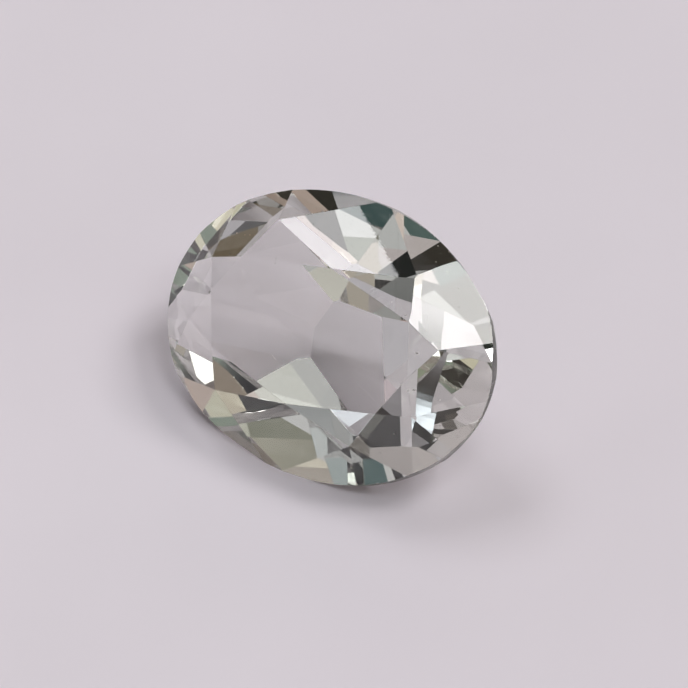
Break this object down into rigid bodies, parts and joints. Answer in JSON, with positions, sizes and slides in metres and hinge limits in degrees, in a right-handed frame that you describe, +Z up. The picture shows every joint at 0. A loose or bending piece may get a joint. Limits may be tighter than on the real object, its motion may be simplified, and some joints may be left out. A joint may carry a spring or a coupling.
{
  "type": "faceted tourmaline",
  "caption": "Loose oval faceted gemstone with a brilliant-cut crown and a shallow, uneven pavilion, lying on one pavilion facet.",
  "frame": {"origin": "centre of the bounding box on the surface that the stone lies on", "axes": "+Z up, +Y away from the picture's camera, +X to the camera's right"},
  "size_m": [0.0082, 0.007, 0.0047],
  "materials": {
    "stone": "polished, see-through, very pale grey-green with brown and green tints"
  },
  "bodies": {
    "root": {"tourmaline": "stone"}
  },
  "joints": []
}
